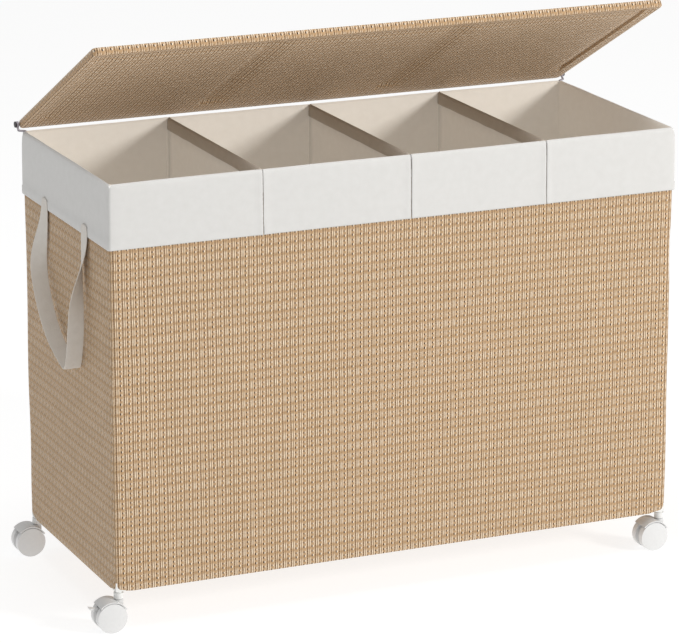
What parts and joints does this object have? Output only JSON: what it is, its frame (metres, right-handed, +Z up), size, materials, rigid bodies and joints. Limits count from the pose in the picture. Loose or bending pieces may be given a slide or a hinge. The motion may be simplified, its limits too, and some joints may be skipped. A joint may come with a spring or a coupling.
{
  "type": "laundry sorter on wheels",
  "caption": "Wheeled laundry sorter: woven box on a steel frame with hanging cloth liners, a hinged lid, side handles and swivel casters.",
  "frame": {"origin": "on the floor, under the middle of the woven box", "axes": "+X along the width, to the right seen from the front; +Y from the front to the hinges; +Z up"},
  "size_m": [0.9091, 0.3753, 0.7984],
  "materials": {
    "woven_rattan": "woven paper cord, matt",
    "liner_cloth": "plain weave, matt",
    "webbing": "woven webbing",
    "frame_steel": "powder coat, satin",
    "hinge_wire": "powder coat, satin",
    "blackened_steel": "black oxide",
    "plated_steel": "zinc plated",
    "moulded_joint": "moulded, satin",
    "caster_plastic": "moulded, semi-gloss",
    "wheel_plastic": "moulded, semi-gloss",
    "hardboard": "hardboard"
  },
  "bodies": {
    "cabinet": {"corner_post_front_left": "frame_steel", "corner_post_front_right": "frame_steel", "corner_post_back_left": "frame_steel", "corner_post_back_right": "frame_steel", "rim_rod_front": "frame_steel", "rim_rod_back": "frame_steel", "rim_rod_left": "frame_steel", "rim_rod_right": "frame_steel", "divider_rod_1": "frame_steel", "divider_rod_2": "frame_steel", "divider_rod_3": "frame_steel", "bottom_rail_front": "frame_steel", "bottom_rail_back": "frame_steel", "bottom_rail_left": "frame_steel", "bottom_rail_right": "frame_steel", "top_corner_joints": "moulded_joint", "bottom_joint_front_left": "moulded_joint", "bottom_joint_front_right": "moulded_joint", "bottom_joint_back_left": "moulded_joint", "bottom_joint_back_right": "moulded_joint", "base_board": "hardboard", "outer_bag": "woven_rattan", "liner_1": "liner_cloth", "liner_2": "liner_cloth", "liner_3": "liner_cloth", "liner_4": "liner_cloth", "hinge_arm_left": "hinge_wire", "hinge_arm_right": "hinge_wire", "caster_stems": "plated_steel", "caster_washers": "plated_steel"},
    "handle_left": {"handle_left": "webbing"},
    "handle_right": {"handle_right": "webbing"},
    "lid": {"lid_cover_top": "woven_rattan", "lid_cover_underside": "woven_rattan", "lid_frame": "frame_steel", "lid_board_left": "hardboard", "lid_board_middle": "hardboard", "lid_board_right": "hardboard", "hinge_pins": "blackened_steel"},
    "caster_front_left": {"caster_housing_front_left": "caster_plastic", "caster_axle_front_left": "plated_steel"},
    "wheel_front_left_outer": {"caster_wheel_front_left_outer": "wheel_plastic"},
    "wheel_front_left_inner": {"caster_wheel_front_left_inner": "wheel_plastic"},
    "brake_front_left": {"brake_lever_front_left": "wheel_plastic"},
    "caster_front_right": {"caster_housing_front_right": "caster_plastic", "caster_axle_front_right": "plated_steel"},
    "wheel_front_right_outer": {"caster_wheel_front_right_outer": "wheel_plastic"},
    "wheel_front_right_inner": {"caster_wheel_front_right_inner": "wheel_plastic"},
    "caster_back_left": {"caster_housing_back_left": "caster_plastic", "caster_axle_back_left": "plated_steel"},
    "wheel_back_left_outer": {"caster_wheel_back_left_outer": "wheel_plastic"},
    "wheel_back_left_inner": {"caster_wheel_back_left_inner": "wheel_plastic"},
    "caster_back_right": {"caster_housing_back_right": "caster_plastic", "caster_axle_back_right": "plated_steel"},
    "wheel_back_right_outer": {"caster_wheel_back_right_outer": "wheel_plastic"},
    "wheel_back_right_inner": {"caster_wheel_back_right_inner": "wheel_plastic"},
    "brake_back_right": {"brake_lever_back_right": "wheel_plastic"}
  },
  "joints": [
    {"name": "lid_hinge", "type": "hinge", "parent": "cabinet", "child": "lid", "pos_m": [0, 0.1825, 0.631], "axis": [-1, 0, 0], "range_deg": [-27.5, 82.5]},
    {"name": "handle_left_lift", "type": "hinge", "parent": "cabinet", "child": "handle_left", "pos_m": [-0.425, 0, 0.532], "axis": [0, 1, 0], "range_deg": [0, 95]},
    {"name": "handle_right_lift", "type": "hinge", "parent": "cabinet", "child": "handle_right", "pos_m": [0.425, 0, 0.532], "axis": [0, -1, 0], "range_deg": [0, 95]},
    {"name": "swivel_front_left", "type": "hinge", "parent": "cabinet", "child": "caster_front_left", "pos_m": [-0.4165, -0.169, 0.05], "axis": [0, 0, 1], "continuous": true},
    {"name": "roll_front_left_outer", "type": "hinge", "parent": "caster_front_left", "child": "wheel_front_left_outer", "pos_m": [-0.4305, -0.169, 0.021], "axis": [0, 1, 0], "continuous": true},
    {"name": "roll_front_left_inner", "type": "hinge", "parent": "caster_front_left", "child": "wheel_front_left_inner", "pos_m": [-0.4305, -0.169, 0.021], "axis": [0, 1, 0], "continuous": true},
    {"name": "brake_press_front_left", "type": "hinge", "parent": "caster_front_left", "child": "brake_front_left", "pos_m": [-0.4374, -0.169, 0.0308], "axis": [0, -1, 0], "range_deg": [0, 10]},
    {"name": "swivel_front_right", "type": "hinge", "parent": "cabinet", "child": "caster_front_right", "pos_m": [0.4165, -0.169, 0.05], "axis": [0, 0, 1], "continuous": true},
    {"name": "roll_front_right_outer", "type": "hinge", "parent": "caster_front_right", "child": "wheel_front_right_outer", "pos_m": [0.4025, -0.169, 0.021], "axis": [0, 1, 0], "continuous": true},
    {"name": "roll_front_right_inner", "type": "hinge", "parent": "caster_front_right", "child": "wheel_front_right_inner", "pos_m": [0.4025, -0.169, 0.021], "axis": [0, 1, 0], "continuous": true},
    {"name": "swivel_back_left", "type": "hinge", "parent": "cabinet", "child": "caster_back_left", "pos_m": [-0.4165, 0.169, 0.05], "axis": [0, 0, 1], "continuous": true},
    {"name": "roll_back_left_outer", "type": "hinge", "parent": "caster_back_left", "child": "wheel_back_left_outer", "pos_m": [-0.4305, 0.169, 0.021], "axis": [0, 1, 0], "continuous": true},
    {"name": "roll_back_left_inner", "type": "hinge", "parent": "caster_back_left", "child": "wheel_back_left_inner", "pos_m": [-0.4305, 0.169, 0.021], "axis": [0, 1, 0], "continuous": true},
    {"name": "swivel_back_right", "type": "hinge", "parent": "cabinet", "child": "caster_back_right", "pos_m": [0.4165, 0.169, 0.05], "axis": [0, 0, 1], "continuous": true},
    {"name": "roll_back_right_outer", "type": "hinge", "parent": "caster_back_right", "child": "wheel_back_right_outer", "pos_m": [0.4025, 0.169, 0.021], "axis": [0, 1, 0], "continuous": true},
    {"name": "roll_back_right_inner", "type": "hinge", "parent": "caster_back_right", "child": "wheel_back_right_inner", "pos_m": [0.4025, 0.169, 0.021], "axis": [0, 1, 0], "continuous": true},
    {"name": "brake_press_back_right", "type": "hinge", "parent": "caster_back_right", "child": "brake_back_right", "pos_m": [0.3956, 0.169, 0.0308], "axis": [0, -1, 0], "range_deg": [0, 10]}
  ]
}
